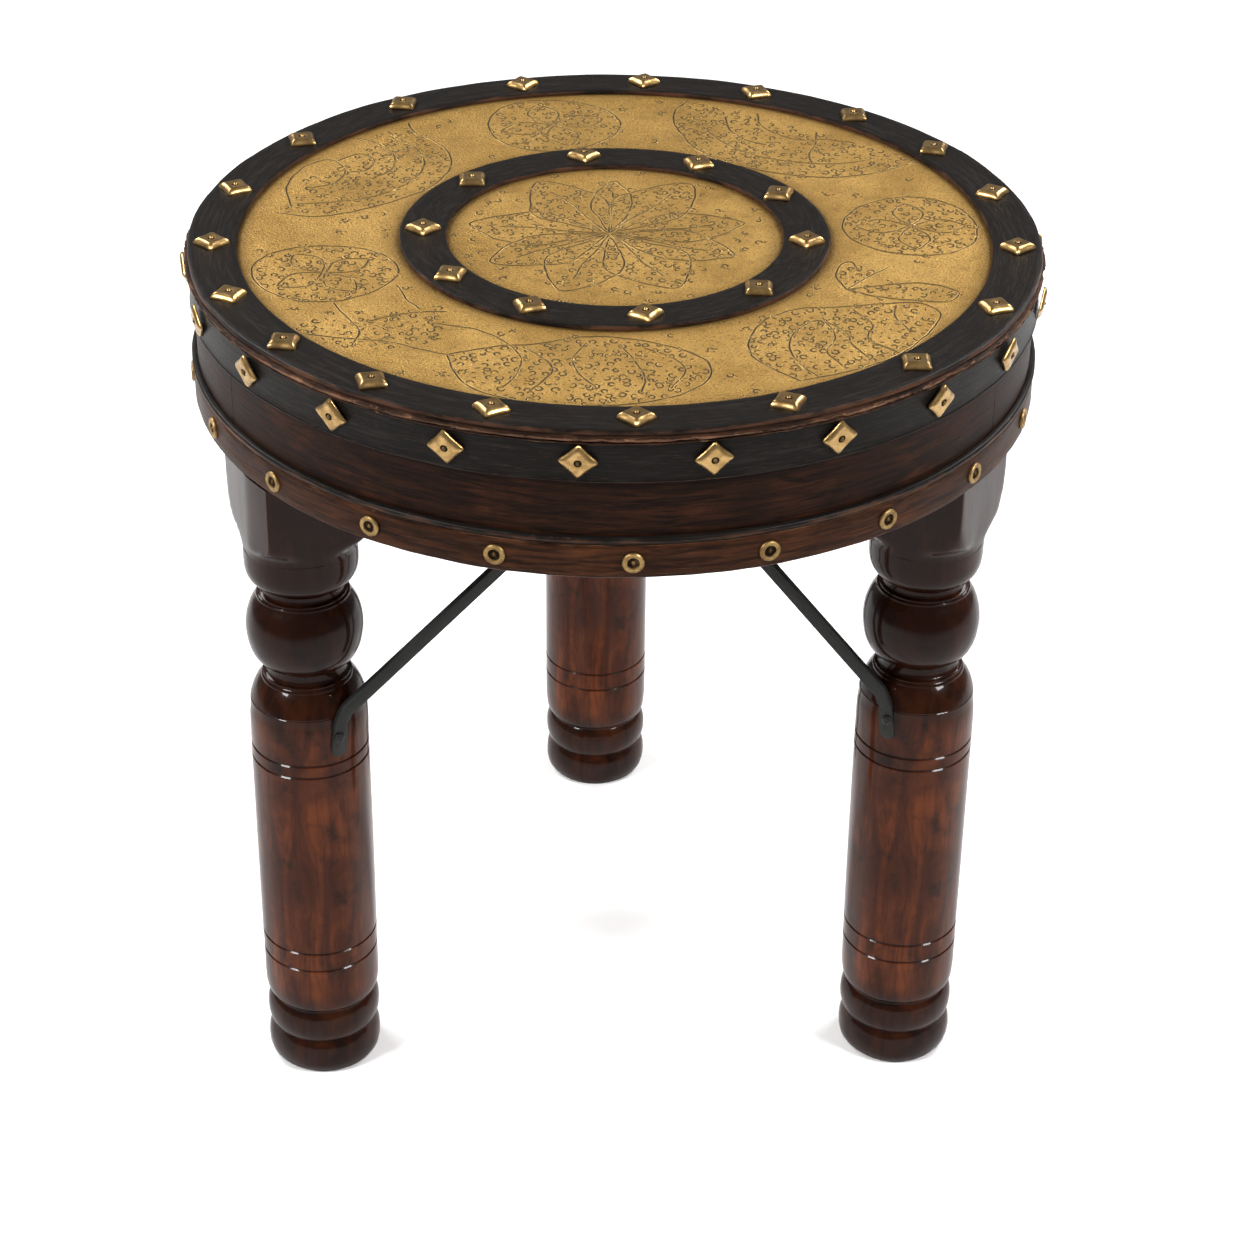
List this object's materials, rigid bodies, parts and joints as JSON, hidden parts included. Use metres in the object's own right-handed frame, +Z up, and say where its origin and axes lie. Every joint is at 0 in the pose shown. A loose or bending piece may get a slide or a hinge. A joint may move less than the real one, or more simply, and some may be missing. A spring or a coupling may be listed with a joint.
{
  "type": "tray table",
  "caption": "Round drum-shaped side table with an engraved brass top, dark studded bands, three turned wooden legs and thin iron braces.",
  "frame": {"origin": "on the floor under the middle of the round top", "axes": "+Z up; +X to the viewer's right and -Y to the front, between the two front legs; the third leg stands at the back"},
  "size_m": [0.6037, 0.6037, 0.6217],
  "materials": {
    "sheet_brass": "satin, engraved, with brown patina",
    "stud_brass": "polished on the high edges, dark round the pin",
    "ebonised_wood": "blackened and waxed, worn brown at the edges",
    "dark_wood": "dark stained, glossy lacquer",
    "board_wood": "raw sawn boards",
    "iron": "forged, matte black"
  },
  "bodies": {
    "root": {"bottom_board_1": "board_wood", "bottom_board_2": "board_wood", "bottom_board_3": "board_wood", "brace_1": "iron", "brace_2": "iron", "brace_3": "iron", "brace_leg_screw_1": "iron", "brace_leg_screw_2": "iron", "brace_leg_screw_3": "iron", "brace_top_screw_1": "iron", "brace_top_screw_2": "iron", "brace_top_screw_3": "iron", "brass_centre_disc": "sheet_brass", "brass_ring_sheet": "sheet_brass", "drum_bead": "ebonised_wood", "hoop_segment_1": "dark_wood", "hoop_segment_2": "dark_wood", "hoop_segment_3": "dark_wood", "inner_stud_01": "stud_brass", "inner_stud_02": "stud_brass", "inner_stud_03": "stud_brass", "inner_stud_04": "stud_brass", "inner_stud_05": "stud_brass", "inner_stud_06": "stud_brass", "inner_stud_07": "stud_brass", "inner_stud_08": "stud_brass", "inner_stud_09": "stud_brass", "inner_stud_10": "stud_brass", "inner_top_ring": "ebonised_wood", "leg_1": "dark_wood", "leg_2": "dark_wood", "leg_3": "dark_wood", "lower_band": "dark_wood", "outer_stud_01": "stud_brass", "outer_stud_02": "stud_brass", "outer_stud_03": "stud_brass", "outer_stud_04": "stud_brass", "outer_stud_05": "stud_brass", "outer_stud_06": "stud_brass", "outer_stud_07": "stud_brass", "outer_stud_08": "stud_brass", "outer_stud_09": "stud_brass", "outer_stud_10": "stud_brass", "outer_stud_11": "stud_brass", "outer_stud_12": "stud_brass", "outer_stud_13": "stud_brass", "outer_stud_14": "stud_brass", "outer_stud_15": "stud_brass", "outer_stud_16": "stud_brass", "outer_stud_17": "stud_brass", "outer_stud_18": "stud_brass", "outer_stud_19": "stud_brass", "outer_top_band": "ebonised_wood", "rim_moulding": "dark_wood", "side_strap": "ebonised_wood", "top_board_1": "board_wood", "top_board_2": "board_wood", "top_board_3": "board_wood", "top_board_4": "board_wood"}
  },
  "joints": []
}
